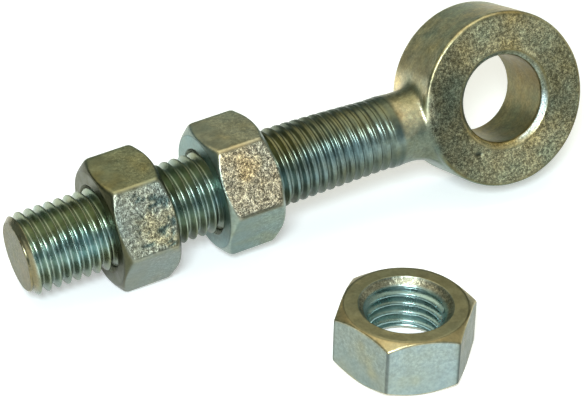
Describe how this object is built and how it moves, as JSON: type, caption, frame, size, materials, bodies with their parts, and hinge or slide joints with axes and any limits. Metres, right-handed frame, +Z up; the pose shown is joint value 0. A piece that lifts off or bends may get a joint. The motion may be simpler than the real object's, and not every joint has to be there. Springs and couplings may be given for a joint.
{
  "type": "eye bolt",
  "caption": "Forged eye bolt lying on its side: flat round eye on a fully threaded shank with hexagon nuts, for fastening an eye to a plate or post.",
  "frame": {"origin": "centre of the eye's hole, on the shank's axis", "axes": "+Z up from the surface the pieces lie on, +X level from the threaded tip towards the eye, +Y level, away from the loose nut"},
  "size_m": [0.1507, 0.0915, 0.0479],
  "materials": {
    "forged_zinc": "zinc plated forging, satin with grainy flat faces",
    "nut_zinc": "zinc plated, satin"
  },
  "bodies": {
    "bolt": {"eye_bolt": "forged_zinc"},
    "nut_towards_tip": {"outer_nut": "nut_zinc"},
    "nut_towards_eye": {"inner_nut": "nut_zinc"},
    "nut_on_surface": {"loose_nut": "nut_zinc"}
  },
  "joints": [
    {"name": "outer_nut_run", "type": "slide", "parent": "bolt", "child": "nut_towards_tip", "axis": [0.9962, 0, 0.0875], "range_m": [-0.0375, 0.005]},
    {"name": "inner_nut_run", "type": "slide", "parent": "bolt", "child": "nut_towards_eye", "axis": [0.9962, 0, 0.0875], "range_m": [-0.005, 0.03]},
    {"name": "loose_nut_lift", "type": "slide", "parent": "bolt", "child": "nut_on_surface", "axis": [0, 0, 1], "range_m": [0, 0.06]}
  ]
}
